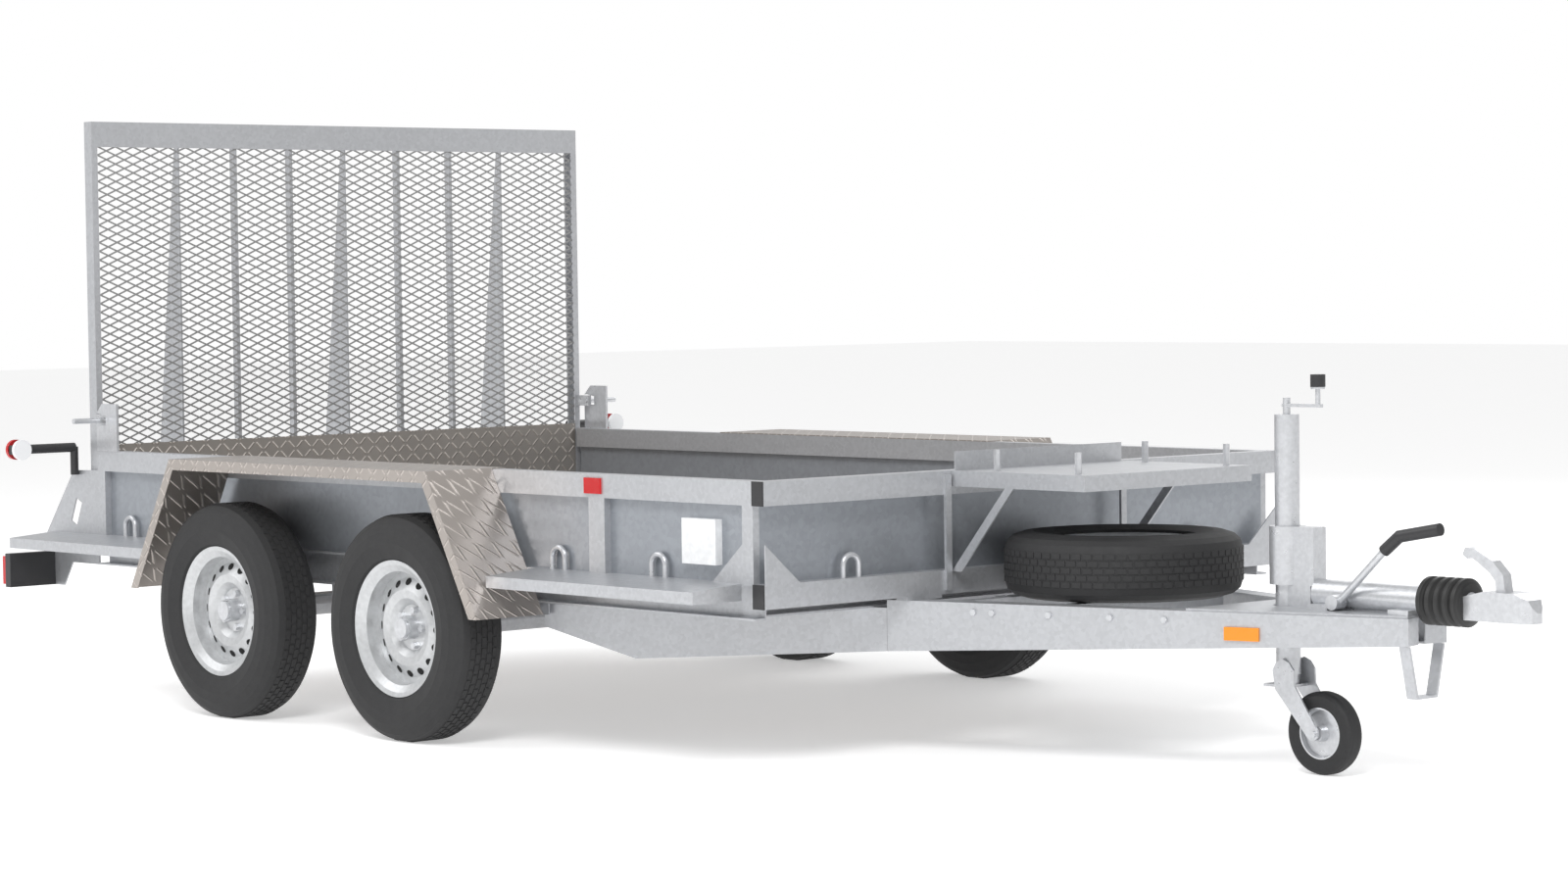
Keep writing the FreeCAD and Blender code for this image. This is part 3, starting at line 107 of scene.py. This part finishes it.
class Shader:
    """A material's node tree, with its maths written as plain calls."""

    def __init__(self, name: str) -> None:
        self.material = bpy.data.materials.new(name)
        self.material.use_nodes = True
        self.tree = self.material.node_tree
        self.base = self.tree.nodes["Principled BSDF"]
        self.place = self.node("ShaderNodeTexCoord").outputs["Object"]

    def node(self, kind: str, **inputs):
        """Adds a node and fills its inputs with values or other nodes' sockets."""
        made = self.tree.nodes.new(kind)
        for key, value in inputs.items():
            self.fill(made.inputs[key], value)
        return made

    def fill(self, socket, value) -> None:
        """Links a socket, or sets its value."""
        if isinstance(value, bpy.types.NodeSocket):
            self.tree.links.new(value, socket)
        else:
            socket.default_value = value

    def maths(self, operation: str, *values):
        """One step of arithmetic; gives the answer's socket."""
        made = self.tree.nodes.new("ShaderNodeMath")
        made.operation = operation
        for socket, value in zip(made.inputs, values):
            self.fill(socket, value)
        return made.outputs[0]

    def dot(self, direction: tuple[float, float, float]):
        """Distance along a direction, in metres."""
        made = self.tree.nodes.new("ShaderNodeVectorMath")
        made.operation = "DOT_PRODUCT"
        self.fill(made.inputs[0], self.place)
        made.inputs[1].default_value = direction
        return made.outputs["Value"]

    def noise(self, scale: float, detail: float = 3.0):
        """Plain noise, 0 to 1."""
        return self.node("ShaderNodeTexNoise", Vector=self.place, Scale=scale, Detail=detail).outputs["Fac"]

    def bump(self, height, strength: float, distance: float) -> None:
        """Raises the surface by a height pattern."""
        made = self.node("ShaderNodeBump", Height=height, Strength=strength, Distance=distance)
        self.fill(self.base.inputs["Normal"], made.outputs["Normal"])

    def tint(self, colour: tuple[float, float, float], shade, low: float, high: float) -> None:
        """Colours the surface, darker and lighter as a pattern goes 0 to 1."""
        mix = self.tree.nodes.new("ShaderNodeMix")
        mix.data_type = "RGBA"
        self.fill(mix.inputs[0], shade)
        mix.inputs[6].default_value = (*(c * low for c in colour), 1.0)
        mix.inputs[7].default_value = (*(min(1.0, c * high) for c in colour), 1.0)
        self.fill(self.base.inputs["Base Color"], mix.outputs[2])


def tread_mask(shader: Shader, finish: Finish):
    """Raised bars in turn at plus and minus 45 degrees, 30 mm apart."""
    cells, parts = [], []
    for direction in (finish.across, finish.along):
        scaled = shader.maths("DIVIDE", shader.dot(direction), 0.030)
        cells.append(shader.maths("FLOOR", scaled))
        parts.append(shader.maths("SUBTRACT", shader.maths("FRACT", scaled), 0.5))
    odd = shader.maths("ABSOLUTE", shader.maths("MODULO", shader.maths("ADD", *cells), 2.0))
    turn = shader.maths("SUBTRACT", shader.maths("MULTIPLY", odd, 2.0), 1.0)
    turned = shader.maths("MULTIPLY", parts[1], turn)
    thin = shader.maths("ABSOLUTE", shader.maths("ADD", parts[0], turned))
    long = shader.maths("ABSOLUTE", shader.maths("SUBTRACT", parts[0], turned))
    bar = shader.maths("SUBTRACT", 1.0, shader.maths("DIVIDE", thin, 0.17))
    end = shader.maths("SUBTRACT", 1.0, shader.maths("POWER", shader.maths("DIVIDE", long, 0.72), 6.0))
    return shader.maths("MAXIMUM", 0.0, shader.maths("MINIMUM", bar, end))


def make_material(finish: Finish) -> bpy.types.Material:
    """Builds a finish's procedural material."""
    shader = Shader(finish.name)
    shader.base.inputs["Metallic"].default_value = finish.metallic
    soft = shader.noise(4.0)
    if finish.detail is Detail.SPANGLE:
        cells = shader.node("ShaderNodeTexVoronoi", Vector=shader.place, Scale=finish.scale)
        grey = shader.node("ShaderNodeRGBToBW", Color=cells.outputs["Color"]).outputs[0]
        shade = shader.maths("ADD", shader.maths("MULTIPLY", grey, 0.6), shader.maths("MULTIPLY", soft, 0.4))
        shader.tint(finish.colour, shade, 0.88, 1.12)
        shader.bump(shader.noise(180.0), 0.15, 0.0008)
    elif finish.detail is Detail.TREAD:
        shade = shader.maths("ADD", shader.maths("MULTIPLY", soft, 0.5), 0.0)
        mask = tread_mask(shader, finish)
        shader.tint(finish.colour, shader.maths("ADD", shade, mask), 0.78, 1.25)
        shader.bump(mask, 0.9, 0.0025)
    elif finish.detail is Detail.RIBS:
        wave = shader.node("ShaderNodeTexWave", Vector=shader.place, Scale=finish.scale).outputs["Fac"]
        shader.tint(finish.colour, wave, 0.8, 1.15)
        shader.bump(wave, 0.3, 0.001)
    else:
        shade = shader.noise(finish.scale, 6.0)
        shader.tint(finish.colour, shade, 0.8, 1.2)
        shader.bump(shade, 0.2, 0.0006)
    rough = shader.maths("ADD", shader.maths("MULTIPLY", shader.noise(30.0), 0.16), finish.roughness - 0.08)
    shader.fill(shader.base.inputs["Roughness"], rough)
    return shader.material


class Workshop:
    """Makes pieces, keeping each finish's material once."""

    def __init__(self) -> None:
        self.materials: dict[str, bpy.types.Material] = {}

    def material(self, finish: Finish) -> bpy.types.Material:
        """The material of a finish."""
        if finish.name not in self.materials:
            self.materials[finish.name] = make_material(finish)
        return self.materials[finish.name]

    def finished(self, name: str, mesh: bpy.types.Mesh, finish: Finish, body: str) -> bpy.types.Object:
        """A piece at the origin that rides on a body."""
        mesh.materials.clear()
        mesh.materials.append(self.material(finish))
        piece = bpy.data.objects.new(name, mesh)
        bpy.context.collection.objects.link(piece)
        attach(piece, body)
        return piece

    def repeated(self, name: str, unit: bpy.types.Object, spots: list, finish: Finish, body: str) -> None:
        """One mesh set at many spots with a node group, then made plain."""
        mesh = bpy.data.meshes.new(name)
        mesh.from_pydata([spot[0] for spot in spots], [], [])
        turns = mesh.attributes.new("turn", "FLOAT_VECTOR", "POINT")
        for index, spot in enumerate(spots):
            turns.data[index].vector = spot[1]
        holder = bpy.data.objects.new(name + "_points", mesh)
        bpy.context.collection.objects.link(holder)
        tree = bpy.data.node_groups.new(name, "GeometryNodeTree")
        tree.interface.new_socket("Geometry", in_out="INPUT", socket_type="NodeSocketGeometry")
        tree.interface.new_socket("Geometry", in_out="OUTPUT", socket_type="NodeSocketGeometry")
        kinds = ("NodeGroupInput", "GeometryNodeInstanceOnPoints", "GeometryNodeRealizeInstances",
                 "GeometryNodeSetMaterial", "NodeGroupOutput")
        chain = [tree.nodes.new(kind) for kind in kinds]
        for first, second in zip(chain, chain[1:]):
            tree.links.new(first.outputs[0], second.inputs[0])
        source = tree.nodes.new("GeometryNodeObjectInfo")
        source.inputs["Object"].default_value = unit
        tree.links.new(source.outputs["Geometry"], chain[1].inputs["Instance"])
        named = tree.nodes.new("GeometryNodeInputNamedAttribute")
        named.data_type = "FLOAT_VECTOR"
        named.inputs["Name"].default_value = "turn"
        euler = tree.nodes.new("FunctionNodeEulerToRotation")
        tree.links.new(named.outputs["Attribute"], euler.inputs[0])
        tree.links.new(euler.outputs[0], chain[1].inputs["Rotation"])
        chain[3].inputs["Material"].default_value = self.material(finish)
        holder.modifiers.new("repeat", "NODES").node_group = tree
        graph = bpy.context.evaluated_depsgraph_get()
        plain = bpy.data.meshes.new_from_object(holder.evaluated_get(graph))
        bpy.data.objects.remove(holder)
        bpy.data.objects.remove(unit)
        self.finished(name, plain, finish, body)


def rod(radius: float, length: float, start: Vector, direction: Vector, sides: int = 32) -> tuple:
    """Points and faces of a rod from a start along a direction."""
    turn = Vector(direction).to_track_quat("Z", "Y")
    points, ring = [], range(sides)
    for height in (0.0, length):
        for step in ring:
            angle = math.tau * step / sides
            spot = Vector((radius * math.cos(angle), radius * math.sin(angle), height))
            points.append(Vector(start) + turn @ spot)
    faces = [(s, (s + 1) % sides, (s + 1) % sides + sides, s + sides) for s in ring]
    faces += [tuple(reversed(ring)), tuple(s + sides for s in ring)]
    return points, faces


def slab(low: tuple, high: tuple) -> tuple:
    """Points and faces of a box between two corners."""
    points = [Vector((x, y, z)) for x in (low[0], high[0]) for y in (low[1], high[1]) for z in (low[2], high[2])]
    return points, [(0, 1, 3, 2), (4, 6, 7, 5), (0, 4, 5, 1), (2, 3, 7, 6), (0, 2, 6, 4), (1, 5, 7, 3)]


def joined(name: str, *parts: tuple) -> bpy.types.Mesh:
    """One mesh of several loose parts."""
    points, faces = [], []
    for more, sides in parts:
        faces += [tuple(len(points) + index for index in face) for face in sides]
        points += more
    mesh = bpy.data.meshes.new(name)
    mesh.from_pydata([tuple(p) for p in points], [], faces)
    mesh.update()
    return mesh


def unit(name: str, part: tuple) -> bpy.types.Object:
    """A mesh to repeat, at the origin."""
    made = bpy.data.objects.new(name, joined(name, part))
    bpy.context.collection.objects.link(made)
    return made


@dataclass
class WheelTrim:
    """Painted shade in the vent holes, plus bolts and cap of a road wheel."""

    holes: int = 16
    hole_circle: float = 0.121
    hole_radius: float = 0.0105
    bolts: int = 5
    bolt_circle: float = 0.049
    face: float = 0.006

    def build(self, shop: Workshop, body: str, side: float) -> None:
        """Adds the trim to one wheel."""
        low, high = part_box(body.replace("wheel", "tyre"))
        centre = (Vector(low) + Vector(high)) / 2
        spots = []
        for step in range(self.holes):
            angle = math.tau * step / self.holes
            out = Vector((math.cos(angle), 0.0, math.sin(angle)))
            normal = (Vector((0.0, side * 32.0, 0.0)) + out * 18.0).normalized()
            spot = centre + out * self.hole_circle + Vector((0.0, side * 0.0182, 0.0)) + normal * 0.0002
            spots.append((tuple(spot), tuple(normal.to_track_quat("Z", "Y").to_euler())))
        # Near-black discs on the vent holes: painted shade where the wheel's inside shows through.
        disc = unit(f"{body}_disc", rod(self.hole_radius, 0.001, Vector(), Vector((0, 0, 1)), 20))
        shop.repeated(f"{body}_vents", disc, spots, VENT_SHADE, body)
        flat = tuple(Vector((0.0, side, 0.0)).to_track_quat("Z", "Y").to_euler())
        spots = []
        for step in range(self.bolts):
            angle = math.tau * step / self.bolts
            out = Vector((math.cos(angle), 0.0, math.sin(angle))) * self.bolt_circle
            spots.append((tuple(centre + out + Vector((0.0, side * self.face, 0.0))), flat))
        bolt = unit(f"{body}_bolt", rod(0.0095, 0.014, Vector(), Vector((0, 0, 1)), 6))
        shop.repeated(f"{body}_bolts", bolt, spots, BRIGHT, body)
        cap = rod(0.031, 0.034, centre + Vector((0, side * self.face, 0)), Vector((0, side, 0)))
        lid = rod(0.026, 0.008, centre + Vector((0, side * (self.face + 0.034), 0)), Vector((0, side, 0)))
        shop.finished(f"{body}_cap", joined(f"{body}_cap", cap, lid), BRIGHT, body)


@dataclass
class TyreTread:
    """Raised blocks round a tyre's crown."""

    rows: int = 5
    blocks: int = 66
    radius: float = 0.2965
    pitch: float = 0.0175

    def build(self, shop: Workshop, node: str, body: str, axis: Vector) -> None:
        """Adds the blocks to one tyre."""
        low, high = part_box(node)
        centre = (Vector(low) + Vector(high)) / 2
        side = axis.orthogonal().normalized()
        other = axis.cross(side)
        spots = []
        for row in range(self.rows):
            shift = axis * (row - (self.rows - 1) / 2) * self.pitch
            for step in range(self.blocks):
                angle = math.tau * (step + 0.5 * (row % 2)) / self.blocks
                out = side * math.cos(angle) + other * math.sin(angle)
                grid = Matrix((axis, out.cross(axis), out)).transposed()
                spots.append((tuple(centre + shift + out * self.radius), tuple(grid.to_euler())))
        half = self.pitch / 2 - 0.002
        block = unit(f"{node}_block", slab((-half, -0.0115, 0.0), (half, 0.0115, 0.0032)))
        shop.repeated(f"{node}_tread", block, spots, RUBBER, body)


@dataclass
class DrawbarTrim:
    """Bolt heads and an amber reflector on each drawbar side."""

    bolt_ahead: tuple[float, ...] = (1.02, 1.07, 1.22, 1.38, 1.52)
    bolt_height: float = 0.372
    amber_ahead: float = 1.715

    def build(self, shop: Workshop, nodes: dict) -> None:
        """Adds the pieces where each beam's outer face is."""
        bolts, ambers = [], []
        for label, side in SIDES.items():
            beam = nodes[f"drawbar_{label}"]
            for ahead in (*self.bolt_ahead, self.amber_ahead):
                height = 0.345 if ahead == self.amber_ahead else self.bolt_height
                hit, spot, normal, _ = beam.ray_cast(Vector((ahead, side * 2, height)), Vector((0, -side, 0)))
                if not hit:
                    continue
                across = Vector((0, 0, 1)).cross(normal).normalized()
                turn = tuple(Matrix((across, normal.cross(across), normal)).transposed().to_euler())
                (ambers if ahead == self.amber_ahead else bolts).append((tuple(spot), turn))
        head = unit("beam_bolt", rod(0.0085, 0.006, Vector(), Vector((0, 0, 1)), 6))
        shop.repeated("beam_bolts", head, bolts, BRIGHT, "chassis")
        lens = unit("beam_lens", slab((-0.045, -0.016, -0.001), (0.045, 0.016, 0.006)))
        shop.repeated("beam_reflectors", lens, ambers, AMBER, "chassis")


@dataclass
class CrankKnob:
    """Black knob over the crank's upper end."""

    tall: float = 0.030

    def build(self, shop: Workshop, crank: bpy.types.Object) -> None:
        """Adds the knob."""
        points = [vertex.co for vertex in crank.data.vertices]
        top = max(point.z for point in points)
        near = [point for point in points if point.z > top - self.tall]
        centre = sum(near, Vector()) / len(near)
        reach = max((point.xy - centre.xy).length for point in near) + 0.001
        start = Vector((centre.x, centre.y, top - self.tall + 0.001))
        mesh = joined("crank_knob", rod(reach, self.tall, start, Vector((0, 0, 1))))
        shop.finished("crank_knob", mesh, BLACK, "jockey_mast")


@dataclass
class BedTrim:
    """Reflectors, blank plate and bolts on the bed and drawbar."""

    board: float = 0.8095
    face: float = 0.934

    def build(self, shop: Workshop) -> None:
        """Adds every bed piece, both sides."""
        red, amber, lens, white, plates = [], [], [], [], []
        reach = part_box("tail_lamps")[1][1]
        for side in SIDES.values():
            inner, outer = side * (self.face - 0.001), side * (self.face + 0.006)
            red.append(slab((self.board - 0.641, inner, 0.664), (self.board - 0.577, outer, 0.704)))
            red.append(rod(0.030, 0.012, Vector((-2.262, side * 1.136, 0.722)), Vector((-1, 0, 0))))
            white.append(rod(0.030, 0.012, Vector((-2.238, side * 1.136, 0.722)), Vector((1, 0, 0))))
            amber.append(slab((-2.4435, side * (reach - 0.034), 0.316), (-2.425, side * (reach - 0.004), 0.390)))
            lens.append(slab((-2.4435, side * (reach - 0.100), 0.345), (-2.425, side * (reach - 0.072), 0.390)))
        plates.append(slab((self.board - 0.264, -self.face - 0.002, 0.504), (self.board - 0.137, -self.face + 0.030, 0.616)))
        shop.finished("red_reflectors", joined("red_reflectors", *red), RED, "chassis")
        shop.finished("front_markers", joined("front_markers", *white), CLEAR, "chassis")
        shop.finished("indicators", joined("indicators", *amber), AMBER, "chassis")
        shop.finished("reversing_lamps", joined("reversing_lamps", *lens), CLEAR, "chassis")
        shop.finished("rating_plate", joined("rating_plate", *plates), BLANK, "chassis")
        turn = tuple(Vector((0, 0, 1)).to_track_quat("Z", "Y").to_euler())
        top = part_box("bucket_rest")[1][2]
        spots = [((x, y, top - 0.06), turn) for x in (0.98, 1.26) for y in (-0.27, 0.27)]
        bolt = unit("rest_bolt", rod(0.009, 0.066, Vector(), Vector((0, 0, 1)), 6))
        shop.repeated("rest_bolts", bolt, spots, BRIGHT, "chassis")


@dataclass
class LeverGrip:
    """Black grips on the brake lever."""

    root: tuple[float, float, float] = (1.8875, -0.052, 0.401)

    def build(self, shop: Workshop) -> None:
        """Adds the sleeves."""
        parts = []
        for ahead, up, lean, length in ((0.146, 0.147, 52, 0.062), (0.190, 0.183, 80, 0.124)):
            way = Vector((math.sin(math.radians(lean)), 0, math.cos(math.radians(lean))))
            start = Vector(self.root) + Vector((ahead, 0, up)) + way * 0.001
            parts.append(rod(0.0148, length - 0.0005, start, way))
        shop.finished("lever_grips", joined("lever_grips", *parts), BLACK, "chassis")


def dress_nodes(shop: Workshop, nodes: dict) -> None:
    """Gives every CAD node its finish, by the longest name that starts its own."""
    for name, node in nodes.items():
        keys = [key for key in NODE_FINISHES if name.startswith(key)]
        finish = NODE_FINISHES[max(keys, key=len)] if keys else GALVANISED
        node.data.materials.clear()
        node.data.materials.append(shop.material(finish))


class Studio:
    """Pale floor, soft light, white surround and the camera."""

    def build(self) -> None:
        """Sets the stage."""
        floor = bpy.data.objects.new("floor", joined("floor", slab((-40, -40, -0.02), (40, 40, 0.0))))
        bpy.context.collection.objects.link(floor)
        shader = Shader("floor_white")
        shader.base.inputs["Base Color"].default_value = (0.86, 0.86, 0.86, 1.0)
        shader.base.inputs["Roughness"].default_value = 0.9
        shader.base.inputs["Emission Color"].default_value = (1.0, 1.0, 1.0, 1.0)
        shader.base.inputs["Emission Strength"].default_value = 0.4
        floor.data.materials.append(shader.material)
        for name, spot, size, power in (("key", (5, -6, 7), 3.0, 520.0), ("fill", (-5, -4, 6), 6.0, 220.0), ("back", (-2, 7, 6), 6.0, 220.0)):
            light = bpy.data.lights.new(name, "AREA")
            light.size, light.energy = size, power
            lamp = bpy.data.objects.new(name, light)
            lamp.matrix_world = Matrix.Translation(spot) @ Vector(spot).to_track_quat("Z", "Y").to_matrix().to_4x4()
            bpy.context.collection.objects.link(lamp)
        self.surround()
        self.camera()
        bpy.context.scene.view_settings.view_transform = "Standard"

    def surround(self) -> None:
        """A world that is white to the camera and soft as light."""
        world = bpy.data.worlds.new("surround")
        bpy.context.scene.world = world
        world.use_nodes = True
        tree = world.node_tree
        base = tree.nodes["Background"]
        path = tree.nodes.new("ShaderNodeLightPath")
        strength = tree.nodes.new("ShaderNodeMix")
        strength.inputs[2].default_value = 0.6
        strength.inputs[3].default_value = 1.0
        base.inputs["Color"].default_value = (1.0, 1.0, 1.0, 1.0)
        tree.links.new(path.outputs["Is Camera Ray"], strength.inputs[0])
        tree.links.new(strength.outputs[0], base.inputs["Strength"])

    def camera(self) -> None:
        """The main view."""
        turn, rise, roll = 0.8411, 0.0431, -0.0134
        back = Vector((math.sin(turn) * math.cos(rise), -math.cos(turn) * math.cos(rise), math.sin(rise)))
        right = (-back).cross(Vector((0, 0, 1))).normalized()
        up = right.cross(-back)
        across = math.cos(roll) * right + math.sin(roll) * up
        over = -math.sin(roll) * right + math.cos(roll) * up
        lens = bpy.data.cameras.new("main")
        lens.lens, lens.sensor_width, lens.clip_end = 89.46, 36.0, 200.0
        eye = bpy.data.objects.new("main", lens)
        bpy.context.collection.objects.link(eye)
        grid = Matrix((across, over, back)).transposed().to_4x4()
        eye.matrix_world = Matrix.Translation((7.8606, -7.1357, 1.2152)) @ grid
        bpy.context.scene.camera = eye


def main() -> None:
    """Builds the looks around the frame."""
    logging.basicConfig(level=logging.INFO)
    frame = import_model()
    shop = Workshop()
    dress_nodes(shop, frame["nodes"])
    trim = WheelTrim()
    for row in ("front", "rear"):
        for label, side in SIDES.items():
            trim.build(shop, f"wheel_{row}_{label}", side)
    tread = TyreTread()
    for row in ("front", "rear"):
        for label in SIDES:
            tread.build(shop, f"tyre_{row}_{label}", f"wheel_{row}_{label}", Vector((0, 1, 0)))
    tread.build(shop, "spare_tyre", "chassis", Vector((0, 0, 1)))
    DrawbarTrim().build(shop, frame["nodes"])
    CrankKnob().build(shop, frame["nodes"]["jockey_crank"])
    BedTrim().build(shop)
    LeverGrip().build(shop)
    Studio().build()
    LOG.info("looks built on %d nodes", len(frame["nodes"]))


if __name__ == "__main__":
    main()
